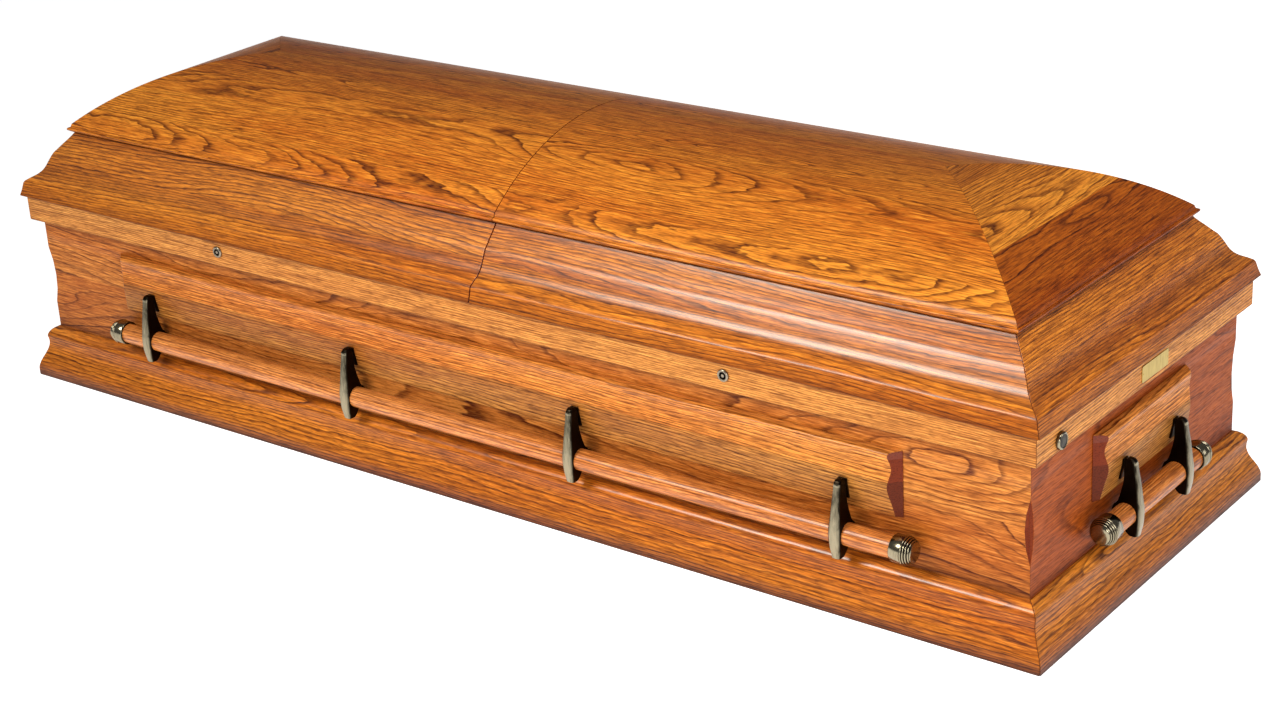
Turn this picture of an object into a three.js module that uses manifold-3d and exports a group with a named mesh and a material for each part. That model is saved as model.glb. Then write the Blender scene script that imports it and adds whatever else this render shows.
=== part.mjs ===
// A wooden coffin: a mitred oak box with a hipped lid in two sections and swing bar handles.
// Units are millimetres, +Z is up. The origin is the middle of the underside, +X runs to the foot end
// and the front long side faces -Y. Insets are measured inwards from the outer edge of the base
// moulding, and stand-offs are measured outwards from the outer face of the walls.
import * as THREE from 'three';
import { mergeVertices } from 'three/addons/utils/BufferGeometryUtils.js';
import Module from 'manifold-3d';

const wasm = await Module();
wasm.setup();

// Overall sizes
const baseLength = 2130;
const baseWidth = 731;
const jointGap = 0.3;
const mitreGap = 0.25;

// Box
const wallInset = 37;
const wallThickness = 20;
const wallFoot = 3;
const rimHeight = 355.2;
const bottomThickness = 18;
const bottomRise = 16;
const scoopLeg = 10;
const scoopLength = 110;
const scoopMiddle = 198;
const scoopSides = 48;

// Base moulding and rim band
const baseMouldingHeight = 95;
const baseMouldingSteps = 14;
const bandInset = 19.6;
const bandHeight = 47.5;
const bandArris = 1.5;

// Lid
const lidFrameHeight = 110.5;
const lidFrameTopWidth = 34;
const flangeInset = 10.5;
const flangeHeight = 16;
const coveTopInset = 91.5;
const coveSteps = 11;
const headerThickness = 20;
const headerHeight = 44;
const headerSetBack = 2;
const headerTongue = 2;
const crownLipInset = 83;
const crownLipRise = 4.5;
const crownLipHeight = 5.5;
const crownRise = 107;
const crownThickness = 20;
const crownSteps = 11;
const seamPlace = 38;
const seamGap = 1.5;

// Applied mouldings on the walls
const sideMouldingLength = 1649;
const endMouldingLength = 301;
const mouldingBottom = 170;
const mouldingHeight = 106.5;
const mouldingSteps = 14;

// Small hardware
const ferruleRadius = 10;
const ferruleDepth = 3;
const ferruleSocketRadius = 4.5;
const ferruleSocketDepth = 2;
const ferruleHeight = 334.5;
const ferrulePlaces = { ferrule_head: -544, ferrule_foot: 526 };
const knobRadius = 13.5;
const knobDepth = 6;
const knobHeight = 325;
const knobCornerInset = 86.5;

// Handles
const barRadius = 17.5;
const barSides = 16;
const barHeight = 134.3;
const barStandOff = 26.5;
const barFit = 0.4;
const tipRadius = 21.3;
const tipRibRadius = 22.4;
const tipLength = 36;
const tipSocketDepth = 22;
const tipSides = 12;
const armPivotHeight = 214.5;
const armPivotStandOff = 29;
const armHeadRadius = 7.5;
const armFrontRadius = 9;
const armWrap = 5;
const armFacet = 3;
const armBottom = 98.5;
const armBottomStandOff = 44;
const earRadius = 5;
const earThickness = 5;
const earFit = 0.4;
const pinRadius = 2.5;
const pinFit = 0.3;
const pinSides = 8;
const lugPlateWidth = 14;
const lugPlateThickness = 3;
const lugPlateHeight = 33;
const sideArmPlaces = [-732, -244, 237, 733];
const sideBarEnds = [-835, 860];
const endArmPlaces = [-83, 80];
const endBarEnds = [-175, 163];

// Worked-out sizes
const halfLength = baseLength / 2;
const halfWidth = baseWidth / 2;
const wallInnerInset = wallInset + wallThickness;
const lidSeat = rimHeight + jointGap;
const lidFrameTop = lidSeat + lidFrameHeight;
const crownSeat = lidFrameTop + jointGap;
const crownLipBottom = crownSeat + crownLipRise;
const crownLipTop = crownLipBottom + crownLipHeight;
const crownRun = halfWidth - crownLipInset;
const crownRadius = (crownRun ** 2 + crownRise ** 2) / (2 * crownRise);
const crownCentreHeight = crownLipTop + crownRise - crownRadius;
const knobPlace = knobCornerInset - halfWidth;

// Materials
const oak = new THREE.MeshStandardMaterial({ color: 0xb8672e, roughness: 0.4, metalness: 0 });
const lidOak = new THREE.MeshStandardMaterial({ color: 0xb35f22, roughness: 0.35, metalness: 0 });
const bareOak = new THREE.MeshStandardMaterial({ color: 0xb98a58, roughness: 0.7, metalness: 0 });
const antiqueMetal = new THREE.MeshStandardMaterial({ color: 0x7d745c, roughness: 0.35, metalness: 1 });

const coffin = new THREE.Group();

function add(name, geometry, material) {
  const mesh = new THREE.Mesh(geometry, material);
  mesh.name = name;
  coffin.add(mesh);
  return mesh;
}

// Turns a closed geometry's faces outwards and keeps its positions only.
function closed(geometry) {
  const merged = mergeVertices(positionsOnly(geometry), 1e-4);
  const position = merged.attributes.position;
  const index = merged.index.array;
  const a = new THREE.Vector3();
  const b = new THREE.Vector3();
  const c = new THREE.Vector3();
  let volume = 0;
  for (let i = 0; i < index.length; i += 3) {
    a.fromBufferAttribute(position, index[i]);
    b.fromBufferAttribute(position, index[i + 1]);
    c.fromBufferAttribute(position, index[i + 2]);
    volume += a.dot(b.cross(c));
  }
  if (volume < 0) {
    for (let i = 0; i < index.length; i += 3) {
      [index[i + 1], index[i + 2]] = [index[i + 2], index[i + 1]];
    }
  }
  return merged;
}

function positionsOnly(geometry) {
  const copy = geometry.clone();
  for (const name of Object.keys(copy.attributes)) {
    if (name !== 'position') copy.deleteAttribute(name);
  }
  return copy;
}

function solidOf(geometry) {
  const body = closed(geometry);
  return new wasm.Manifold(new wasm.Mesh({
    numProp: 3,
    vertProperties: new Float32Array(body.attributes.position.array),
    triVerts: new Uint32Array(body.index.array),
  }));
}

function geometryOf(solid) {
  const mesh = solid.getMesh();
  const geometry = new THREE.BufferGeometry();
  geometry.setAttribute('position', new THREE.BufferAttribute(mesh.vertProperties, 3));
  geometry.setIndex(new THREE.BufferAttribute(mesh.triVerts, 1));
  return geometry;
}

// Joins equal rings of points into one closed body. The outline gives the caps' triangles.
function loft(rings, outline) {
  const count = outline.length;
  const positions = rings.flat().flatMap((p) => [p.x, p.y, p.z]);
  const index = [];
  for (let r = 0; r + 1 < rings.length; r += 1) {
    for (let i = 0; i < count; i += 1) {
      const j = (i + 1) % count;
      const low = r * count;
      const high = low + count;
      index.push(low + i, low + j, high + j, low + i, high + j, high + i);
    }
  }
  const last = (rings.length - 1) * count;
  const winding = THREE.ShapeUtils.isClockWise(outline) ? 1 : -1;
  for (const [p, q, r] of THREE.ShapeUtils.triangulateShape(outline, [])) {
    const cap = winding > 0 ? [p, r, q] : [p, q, r];
    index.push(cap[0], cap[2], cap[1], last + cap[0], last + cap[1], last + cap[2]);
  }
  const geometry = new THREE.BufferGeometry();
  geometry.setAttribute('position', new THREE.Float32BufferAttribute(positions, 3));
  geometry.setIndex(index);
  return closed(geometry);
}

// The four sides. at(inset, end, height) is a point of the side at one of its two mitred ends.
const sides = {
  front: (inset, end, height) => new THREE.Vector3(end * (halfLength - inset), -(halfWidth - inset), height),
  back: (inset, end, height) => new THREE.Vector3(end * (halfLength - inset), halfWidth - inset, height),
  foot: (inset, end, height) => new THREE.Vector3(halfLength - inset, end * (halfWidth - inset), height),
  head: (inset, end, height) => new THREE.Vector3(-(halfLength - inset), end * (halfWidth - inset), height),
};

// A straight run of a section of [inset, height] points, mitred at both ends.
function mitredRun(side, section) {
  const along = side === 'front' || side === 'back' ? 'x' : 'y';
  const ring = (end) => section.map((point) => {
    const corner = sides[side](point.x, end, point.y);
    corner[along] -= end * mitreGap;
    return corner;
  });
  return loft([ring(-1), ring(1)], section);
}

function points(list) {
  return list.map(([x, y]) => new THREE.Vector2(x, y));
}

// Base moulding: a foot with an ogee, a neck and a bead, from the floor up.
function baseMouldingSection() {
  const face = new THREE.SplineCurve(points([
    [0, 12.8], [1, 19], [5, 29.6], [11, 41], [15.7, 51], [18.5, 61.5], [18.4, 70],
    [17.4, 76.4], [19.1, 82], [22.6, 87], [28.5, 91.5],
  ])).getPoints(baseMouldingSteps);
  const back = wallInset - jointGap;
  return [...points([[back, 0], [0, 0]]), ...face, ...points([[back, baseMouldingHeight]])];
}

// Walls: mitred boards with a shallow stopped scoop cut across each corner.
function cornerScoops() {
  const depth = scoopLeg / Math.SQRT2;
  const radius = ((scoopLength / 2) ** 2 + depth ** 2) / (2 * depth);
  const corner = new THREE.Vector2(halfLength - wallInset, halfWidth - wallInset);
  const reach = (radius - depth) / Math.SQRT2;
  const cuts = [];
  for (const x of [-1, 1]) {
    for (const y of [-1, 1]) {
      const cylinder = new THREE.CylinderGeometry(radius, radius, 4 * wallThickness, scoopSides);
      cylinder.rotateZ(x * y > 0 ? Math.PI / 4 : -Math.PI / 4);
      cylinder.translate(x * (corner.x + reach), y * (corner.y + reach), scoopMiddle);
      cuts.push(solidOf(cylinder));
    }
  }
  return cuts;
}

function wall(side, cuts) {
  const section = points([
    [wallInset, wallFoot], [wallInset, rimHeight], [wallInnerInset, rimHeight], [wallInnerInset, wallFoot],
  ]);
  let solid = solidOf(mitredRun(side, section));
  for (const cut of cuts) solid = solid.subtract(cut);
  return geometryOf(solid);
}

function bottomBoard() {
  const inset = wallInnerInset + jointGap;
  const board = new THREE.BoxGeometry(baseLength - 2 * inset, baseWidth - 2 * inset, bottomThickness);
  board.translate(0, 0, bottomRise + bottomThickness / 2);
  return closed(board);
}

// Rim band: a flat band round the top of the walls, with small arrises.
function bandSection() {
  const bottom = rimHeight - bandHeight;
  const back = wallInset - jointGap;
  return points([
    [back, bottom], [bandInset + bandArris, bottom], [bandInset, bottom + bandArris],
    [bandInset, rimHeight], [back, rimHeight],
  ]);
}

// Applied moulding: a bead, a neck and a swelling, as stand-offs over the height of the moulding.
function mouldingFace() {
  return new THREE.SplineCurve(points([
    [9.4, 2.5], [13.5, 24], [17.2, 41], [18, 52.5], [15.6, 65], [13.4, 76], [14.6, 87],
    [17.3, 97], [16.2, 102.8], [10.5, 105.6],
  ])).getPoints(mouldingSteps);
}

function mouldingStandOff(height) {
  const face = mouldingFace();
  const level = height - mouldingBottom;
  const next = face.findIndex((p) => p.y > level);
  const low = face[Math.max(next, 1) - 1];
  const high = face[Math.max(next, 1)];
  return THREE.MathUtils.mapLinear(level, low.y, high.y, low.x, high.x);
}

// The ends are cut back at 45 degrees, so the back is longer than the face.
function appliedMoulding(side, length) {
  const outline = [...points([[jointGap, 0]]), ...mouldingFace(), ...points([[jointGap, mouldingHeight]])];
  const ring = (end) => outline.map((p) => {
    const place = end * (length / 2 - p.x);
    return onWall(side, place, p.x, mouldingBottom + p.y);
  });
  return loft([ring(-1), ring(1)], outline);
}

// A point given by its place along a side, its stand-off from the wall and its height.
function onWall(side, place, standOff, height) {
  const reachX = halfLength - wallInset + standOff;
  const reachY = halfWidth - wallInset + standOff;
  const spots = {
    front: [place, -reachY],
    back: [place, reachY],
    foot: [reachX, place],
    head: [-reachX, place],
  };
  return new THREE.Vector3(...spots[side], height);
}

// Lid frame: a flange, a step and a tall cove, hollow behind, running round three sides of a lid section.
function lidFrameSection() {
  const cove = new THREE.SplineCurve(points([
    [27.4, 32.5], [36, 37.5], [43, 43.5], [48.7, 51.5], [54, 62.5], [61, 75.5], [68, 83.5],
    [75, 91.5], [82, 99], [88.5, 106.5],
  ])).getPoints(coveSteps).map((p) => new THREE.Vector2(p.x, lidSeat + p.y));
  return [
    ...points([
      [wallInnerInset, lidSeat], [flangeInset, lidSeat], [flangeInset + 4, lidSeat + 12.5],
      [flangeInset + 7, lidSeat + 24.5], [flangeInset + 9, lidSeat + 27.5],
    ]),
    ...cove,
    ...points([
      [coveTopInset, lidFrameTop], [coveTopInset + lidFrameTopWidth, lidFrameTop],
      [wallInnerInset, lidSeat + flangeHeight],
    ]),
  ];
}

function lidFrame(end) {
  const section = lidFrameSection();
  const cut = seamPlace + end * seamGap / 2;
  const straight = (side) => section.map((p) => {
    const corner = sides[side](p.x, end, p.y);
    return new THREE.Vector3(cut, corner.y, corner.z);
  });
  const corner = (side) => section.map((p) => sides[side](p.x, end, p.y));
  const rail = loft([straight('front'), corner('front'), corner('back'), straight('back')], section);
  const header = new THREE.BoxGeometry(headerThickness, baseWidth, headerHeight);
  const headerMiddle = cut + end * (headerSetBack + headerThickness / 2);
  header.translate(headerMiddle, 0, lidSeat + headerSetBack + headerHeight / 2);
  const inside = solidOf(prismAlongX(insideSection()));
  return geometryOf(solidOf(rail).add(solidOf(header).intersect(inside)));
}

// The clear space inside the lid frame, wider by a tongue, which the header fills from side to side.
function insideSection() {
  const inner = halfWidth - wallInnerInset + headerTongue;
  const top = halfWidth - coveTopInset - lidFrameTopWidth + headerTongue;
  return points([
    [-inner, lidSeat], [-inner, lidSeat + flangeHeight], [-top, lidFrameTop],
    [top, lidFrameTop], [inner, lidSeat + flangeHeight], [inner, lidSeat],
  ]);
}

function prismAlongX(outline) {
  return loft([-halfLength, halfLength].map((x) => outline.map((p) => new THREE.Vector3(x, p.x, p.y))), outline);
}

function prismAlongY(outline) {
  return loft([-halfWidth, halfWidth].map((y) => outline.map((p) => new THREE.Vector3(p.x, y, p.y))), outline);
}

// Crown: curved panels meeting at hips. An arch rises from the lip to the ridge as one circular arc.
function archPoints(half, radius, floor) {
  const run = Math.min(Math.sqrt(radius ** 2 - (floor - crownCentreHeight) ** 2), crownRun);
  const rising = [];
  for (let i = 0; i <= crownSteps; i += 1) {
    const x = run * (1 - i / crownSteps);
    rising.push(new THREE.Vector2(half - crownRun + x, crownCentreHeight + Math.sqrt(radius ** 2 - x ** 2)));
  }
  const mirrored = rising.map((p) => new THREE.Vector2(-p.x, p.y));
  if (half - crownRun < 1e-6) mirrored.pop();
  return [...mirrored, ...rising.reverse()];
}

function crownOutline(full) {
  const half = full / 2 - crownLipInset;
  const foot = full / 2 - coveTopInset;
  return [
    ...points([[foot, crownSeat], [-foot, crownSeat], [-half, crownLipBottom]]),
    ...archPoints(half, crownRadius, crownLipTop),
    ...points([[half, crownLipBottom]]),
  ];
}

function hollowOutline(full) {
  const half = full / 2 - crownLipInset;
  const arch = archPoints(half, crownRadius - crownThickness, crownSeat);
  const edge = arch[arch.length - 1].x;
  return [...points([[edge, lidSeat], [-edge, lidSeat]]), ...arch];
}

function hipped(outlineOf) {
  const across = solidOf(prismAlongX(outlineOf(baseWidth)));
  const along = solidOf(prismAlongY(outlineOf(baseLength)));
  return across.intersect(along);
}

function crown(end, shell) {
  const box = new THREE.BoxGeometry(baseLength, baseWidth, 2 * baseWidth);
  box.translate(seamPlace + end * (seamGap / 2 + halfLength), 0, 0);
  return geometryOf(shell.intersect(solidOf(box)));
}

// Small hardware: round pieces turned about an axis that points out of their face.
function turned(profile, segments, outwards, centre) {
  const lathe = closed(new THREE.LatheGeometry(points(profile), segments));
  const turn = new THREE.Quaternion().setFromUnitVectors(new THREE.Vector3(0, 1, 0), outwards);
  lathe.applyQuaternion(turn);
  lathe.translate(centre.x, centre.y, centre.z);
  return lathe;
}

function ferrule(place) {
  const profile = [
    [0, 0], [ferruleRadius, 0], [ferruleRadius, ferruleDepth * 0.6], [ferruleRadius * 0.8, ferruleDepth],
    [ferruleSocketRadius, ferruleDepth], [ferruleSocketRadius, ferruleDepth - ferruleSocketDepth],
    [0, ferruleDepth - ferruleSocketDepth],
  ];
  const centre = onWall('front', place, wallInset - bandInset + jointGap, ferruleHeight);
  return turned(profile, 20, new THREE.Vector3(0, -1, 0), centre);
}

function knob() {
  const profile = [
    [0, 0], [knobRadius, 0], [knobRadius, knobDepth * 0.7], [knobRadius * 0.88, knobDepth],
    [0, knobDepth],
  ];
  const centre = onWall('foot', knobPlace, wallInset - bandInset + jointGap, knobHeight);
  return turned(profile, 24, new THREE.Vector3(1, 0, 0), centre);
}

// Handles: a round wooden bar in metal arms that swing on lugs, with ribbed metal tips.
function handleFrame(side) {
  const along = side === 'front' || side === 'back' ? new THREE.Vector3(1, 0, 0) : new THREE.Vector3(0, 1, 0);
  const outwards = onWall(side, 0, 1, 0).sub(onWall(side, 0, 0, 0));
  return { along, outwards };
}

function cylinderAlong(side, radius, sidesCount, from, to, standOff, height) {
  const { along } = handleFrame(side);
  const cylinder = new THREE.CylinderGeometry(radius, radius, to - from, sidesCount);
  cylinder.rotateY(Math.PI / sidesCount);
  cylinder.applyQuaternion(new THREE.Quaternion().setFromUnitVectors(new THREE.Vector3(0, 1, 0), along));
  const centre = onWall(side, (from + to) / 2, standOff, height);
  cylinder.translate(centre.x, centre.y, centre.z);
  return closed(cylinder);
}

function bar(side, ends) {
  const cover = tipLength - tipSocketDepth + jointGap;
  return cylinderAlong(side, barRadius, barSides, ends[0] + cover, ends[1] - cover, barStandOff, barHeight);
}

function tip(side, place, direction) {
  const socket = (barRadius + barFit) / Math.cos(Math.PI / tipSides);
  const rib = tipLength / 12;
  const profile = [
    [0, tipSocketDepth], [socket, tipSocketDepth], [socket, 0], [tipRadius, 0],
    [tipRadius, tipLength - 6 * rib], [tipRibRadius, tipLength - 5 * rib],
    [tipRadius, tipLength - 4 * rib], [tipRibRadius, tipLength - 3 * rib],
    [tipRadius * 0.86, tipLength - rib], [tipRadius * 0.55, tipLength], [0, tipLength],
  ];
  const { along } = handleFrame(side);
  const centre = onWall(side, place - direction * tipLength, barStandOff, barHeight);
  return turned(profile, tipSides, along.clone().multiplyScalar(direction), centre);
}

// An arm's stations run from its bottom tip to its head: height, back, front and half width.
function armStations() {
  const wrap = barRadius + armWrap;
  const front = barStandOff + barRadius + armWrap;
  const ringBack = (rise) => barStandOff - Math.sqrt(wrap ** 2 - rise ** 2);
  const neck = armPivotStandOff - armHeadRadius;
  const head = armPivotStandOff + armFrontRadius;
  return [
    [armBottom, armBottomStandOff - 7, armBottomStandOff, 7],
    [barHeight - 30, barStandOff, front - 3.5, 8.4],
    [barHeight - 22, ringBack(22), front - 1.5, 10.2],
    [barHeight - 14, ringBack(14), front - 0.5, 11],
    [barHeight, ringBack(0), front, 11.5],
    [barHeight + 12, ringBack(12), front - 0.5, 11.3],
    [barHeight + 18, ringBack(18), front - 1.5, 10.8],
    [armPivotHeight - 30, neck - 1, head + 5, 8.2],
    [armPivotHeight - earRadius - 3, neck, head + 1, 6.4],
    [armPivotHeight + 2, neck, head, 6],
    [armPivotHeight + 5.5, neck + 2, head - 1.5, 5.6],
    [armPivotHeight + armHeadRadius, neck + 5, head - 4, 4.8],
  ];
}

function arm(side, place) {
  const rings = armStations().map(([height, back, front, half]) => [
    onWall(side, place - half, back, height),
    onWall(side, place + half, back, height),
    onWall(side, place + half, front - armFacet, height),
    onWall(side, place, front, height),
    onWall(side, place - half, front - armFacet, height),
  ]);
  const cap = points([[-7, 0], [7, 0], [7, 5], [0, 8], [-7, 5]]);
  const reach = barRadius + armWrap;
  const hole = cylinderAlong(side, barRadius + barFit, barSides, place - reach, place + reach, barStandOff, barHeight);
  const pinHole = cylinderAlong(
    side, pinRadius + pinFit, pinSides, place - reach, place + reach, armPivotStandOff, armPivotHeight,
  );
  const slot = slab(
    side, place, earThickness + 2 * earFit,
    [0, armPivotStandOff + earRadius + earFit],
    [armPivotHeight - earRadius - earFit, armPivotHeight + 2 * armHeadRadius],
  );
  const blank = solidOf(loft(rings, cap));
  return geometryOf(blank.subtract(solidOf(hole)).subtract(solidOf(pinHole)).subtract(solidOf(slot)));
}

// A block centred on a place along a side, between two stand-offs and two heights.
function slab(side, place, width, standOffs, heights) {
  const outline = points([
    [standOffs[0], heights[0]], [standOffs[1], heights[0]],
    [standOffs[1], heights[1]], [standOffs[0], heights[1]],
  ]);
  return plate(side, place, width, outline);
}

function plate(side, place, width, outline) {
  const ring = (offset) => outline.map((p) => onWall(side, place + offset, p.x, p.y));
  return loft([ring(-width / 2), ring(width / 2)], outline);
}

// A lug is a plate on the applied moulding's face with an ear and a rivet that carry the arm.
function lug(side, place) {
  const top = armPivotHeight + earRadius;
  const back = [];
  for (let i = 0; i <= 4; i += 1) {
    const height = top - lugPlateHeight * i / 4;
    back.push(new THREE.Vector2(mouldingStandOff(height) + jointGap, height));
  }
  const front = back.map((p) => new THREE.Vector2(p.x + lugPlateThickness, p.y)).reverse();
  const root = mouldingStandOff(armPivotHeight) + jointGap + lugPlateThickness / 2;
  const ear = [new THREE.Vector2(root, armPivotHeight - earRadius)];
  for (let i = 0; i <= 8; i += 1) {
    const angle = -Math.PI / 2 + Math.PI * i / 8;
    ear.push(new THREE.Vector2(
      armPivotStandOff + earRadius * Math.cos(angle), armPivotHeight + earRadius * Math.sin(angle),
    ));
  }
  ear.push(new THREE.Vector2(root, top));
  const pinHalf = earThickness / 2 + earFit + 2;
  const pin = cylinderAlong(
    side, pinRadius, pinSides, place - pinHalf, place + pinHalf, armPivotStandOff, armPivotHeight,
  );
  const body = solidOf(plate(side, place, lugPlateWidth, [...back, ...front]));
  return geometryOf(body.add(solidOf(plate(side, place, earThickness, ear))).add(solidOf(pin)));
}

function handle(side, armPlaces, barEnds) {
  add(`${side}_handle_bar`, bar(side, barEnds), oak);
  add(`${side}_handle_tip_1`, tip(side, barEnds[0], -1), antiqueMetal);
  add(`${side}_handle_tip_2`, tip(side, barEnds[1], 1), antiqueMetal);
  armPlaces.forEach((place, i) => {
    add(`${side}_handle_arm_${i + 1}`, arm(side, place), antiqueMetal);
    add(`${side}_handle_lug_${i + 1}`, lug(side, place), antiqueMetal);
  });
}

// Assembly
const scoops = cornerScoops();
add('bottom_board', bottomBoard(), bareOak);
for (const side of Object.keys(sides)) {
  const long = side === 'front' || side === 'back';
  add(`${side}_wall`, wall(side, scoops), oak);
  add(`${side}_base_moulding`, mitredRun(side, baseMouldingSection()), oak);
  add(`${side}_rim_band`, mitredRun(side, bandSection()), oak);
  add(`${side}_applied_moulding`, appliedMoulding(side, long ? sideMouldingLength : endMouldingLength), oak);
  handle(side, long ? sideArmPlaces : endArmPlaces, long ? sideBarEnds : endBarEnds);
}

const crownShell = hipped(crownOutline).subtract(hipped(hollowOutline));
for (const [name, end] of [['head', -1], ['foot', 1]]) {
  add(`${name}_lid_frame`, lidFrame(end), lidOak);
  add(`${name}_lid_crown`, crown(end, crownShell), lidOak);
}

for (const [name, place] of Object.entries(ferrulePlaces)) add(name, ferrule(place), antiqueMetal);
add('record_tube_knob', knob(), antiqueMetal);

export default coffin;
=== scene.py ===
# %% [markdown]
# This lesson dresses a wooden coffin of stained oak with two lids, moulded sides and swinging handles.
# The measured model comes first: every piece made here stands exactly where that model says, in metres.

# %% Load the measured model
import math
import bmesh
import bpy
from mathutils import Matrix, Vector


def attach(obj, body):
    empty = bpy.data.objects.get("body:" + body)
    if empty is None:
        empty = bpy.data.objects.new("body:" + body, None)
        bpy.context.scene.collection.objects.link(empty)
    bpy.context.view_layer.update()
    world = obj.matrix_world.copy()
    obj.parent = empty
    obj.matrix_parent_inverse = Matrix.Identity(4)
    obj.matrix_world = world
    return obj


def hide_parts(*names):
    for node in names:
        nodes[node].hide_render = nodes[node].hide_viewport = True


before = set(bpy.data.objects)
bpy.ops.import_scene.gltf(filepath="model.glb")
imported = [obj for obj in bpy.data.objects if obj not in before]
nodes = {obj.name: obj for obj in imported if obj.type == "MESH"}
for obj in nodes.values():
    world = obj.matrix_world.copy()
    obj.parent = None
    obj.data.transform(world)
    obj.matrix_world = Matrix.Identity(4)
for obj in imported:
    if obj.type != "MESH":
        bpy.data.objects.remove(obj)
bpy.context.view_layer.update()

# %% [markdown]
# The coffin is seen from its foot end, a little above the lids, with a long lens, as in a studio picture.
# A camera can be aimed by hand, but here its three directions are known numbers, so they go straight
# into its matrix. The small turn about the line of sight tips the picture as the real camera did.

# %% Camera
def link_object(name, data):
    made = bpy.data.objects.new(name, data)
    bpy.context.scene.collection.objects.link(made)
    return made


camera_data = bpy.data.cameras.new("studio_camera")
camera_data.lens = 68.88
camera_data.sensor_width = 36
camera = link_object("studio_camera", camera_data)
camera_place = Vector((2.4957, -3.0133, 1.7616))
camera_right = Vector((0.79508, 0.60406, -0.05435))
camera_up = Vector((-0.19517, 0.33967, 0.92007))
camera_ahead = Vector((-0.57424, 0.72093, -0.38796))
camera_turn = Matrix((camera_right, camera_up, -camera_ahead)).transposed().to_4x4()
camera.matrix_world = Matrix.Translation(camera_place) @ camera_turn
bpy.context.scene.camera = camera
print("camera distance", round(camera.matrix_world.translation.length, 3))

# %% [markdown]
# A coffin of polished wood is judged by its reflections. One softbox over the front side has a narrow spread,
# so it draws long pale streaks along the hollow of the lids and leaves the rest alone. Three more, which
# spread their light widely, keep the lids, the front and the foot end clear. The floor is a plain pale sheet
# with a glow of its own that falls off far away, so the picture stays white and the shadow soft.

# %% Light and floor
def softbox(name, place, target, width, depth, power, spread=180, tint=(1.0, 1.0, 1.0)):
    light_data = bpy.data.lights.new(name, "AREA")
    light_data.spread = math.radians(spread)
    light_data.shape = "RECTANGLE"
    light_data.size = width
    light_data.size_y = depth
    light_data.energy = power
    light_data.color = tint
    aim = (Vector(target) - Vector(place)).to_track_quat("-Z", "Y")
    link_object(name, light_data).matrix_world = Matrix.Translation(place) @ aim.to_matrix().to_4x4()


softbox("streak_softbox", (-1.05, -2.65, 2.5), (0.75, -0.3, 0.4), 1.3, 1.0, 27, 90, (1.0, 0.97, 0.86))
softbox("overhead_softbox", (1.8, -0.6, 2.9), (0.5, 0.0, 0.4), 1.4, 1.2, 40)
softbox("front_softbox", (3.0, -3.0, 1.3), (0.8, -0.3, 0.2), 1.6, 1.2, 44)
softbox("foot_softbox", (3.8, 1.2, 1.5), (1.0, 0.0, 0.3), 1.2, 1.2, 10)

world = bpy.data.worlds.new("pale_studio")
world.use_nodes = True
background = world.node_tree.nodes["Background"]
background.inputs["Color"].default_value = (0.96, 0.97, 1.0, 1)
background.inputs["Strength"].default_value = 0.15
bpy.context.scene.world = world
bpy.context.scene.view_settings.view_transform = "Standard"

FLOOR_REACH = 40
FLOOR_GLOW = {"From Min": 6.0, "From Max": 14.0, "To Min": 0.84, "To Max": 0.62}
floor_mesh = bpy.data.meshes.new("pale_floor")
floor_corners = [(x * FLOOR_REACH, y * FLOOR_REACH, 0) for x, y in ((-1, -1), (1, -1), (1, 1), (-1, 1))]
floor_mesh.from_pydata(floor_corners, [], [(0, 1, 2, 3)])
floor = link_object("pale_floor", floor_mesh)
floor_paint = bpy.data.materials.new("pale_floor")
floor_paint.use_nodes = True
floor_tree = floor_paint.node_tree
floor_shader = floor_tree.nodes["Principled BSDF"]
floor_shader.inputs["Base Color"].default_value = (0.85, 0.85, 0.85, 1)
floor_shader.inputs["Roughness"].default_value = 0.9
floor_shader.inputs["Emission Color"].default_value = (1.0, 1.0, 1.0, 1)
floor_spot = floor_tree.nodes.new("ShaderNodeTexCoord")
floor_distance = floor_tree.nodes.new("ShaderNodeVectorMath")
floor_distance.operation = "LENGTH"
floor_tree.links.new(floor_spot.outputs["Object"], floor_distance.inputs[0])
floor_glow = floor_tree.nodes.new("ShaderNodeMapRange")
for label, value in FLOOR_GLOW.items():
    floor_glow.inputs[label].default_value = value
floor_tree.links.new(floor_distance.outputs["Value"], floor_glow.inputs["Value"])
floor_tree.links.new(floor_glow.outputs[0], floor_shader.inputs["Emission Strength"])
floor_mesh.materials.append(floor_paint)
print("lights", len(bpy.data.lights))

# %% [markdown]
# Materials and Geometry Nodes are both trees of nodes, and a tree built in a script is mostly small repeated
# steps: make a node, give it values, join it up. One helper does that. A value that is a socket becomes a
# link, and any other value is typed into the socket. The other helpers are short names for nodes used often.

# %% Helpers for node trees
def give(tree, node, values):
    for key, value in values.items():
        if isinstance(value, bpy.types.NodeSocket):
            tree.links.new(value, node.inputs[key])
        else:
            node.inputs[key].default_value = value
    return node


def put(tree, kind, values=None, **settings):
    node = tree.nodes.new(kind)
    for key, value in settings.items():
        setattr(node, key, value)
    return give(tree, node, values or {})


def calc(tree, operation, first, second=0.0, third=0.0):
    node = put(tree, "ShaderNodeMath", {0: first, 1: second, 2: third}, operation=operation)
    return node.outputs[0]


def vector_of(tree, x, y, z):
    return put(tree, "ShaderNodeCombineXYZ", {0: x, 1: y, 2: z}).outputs[0]


def split(tree, place):
    return put(tree, "ShaderNodeSeparateXYZ", {0: place}).outputs


def object_place(tree):
    return put(tree, "ShaderNodeTexCoord").outputs["Object"]


def remap(tree, value, low=0.0, high=1.0, to_low=0.0, to_high=1.0, **settings):
    ends = {"Value": value, "From Min": low, "From Max": high, "To Min": to_low, "To Max": to_high}
    return put(tree, "ShaderNodeMapRange", ends, **settings).outputs[0]


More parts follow.
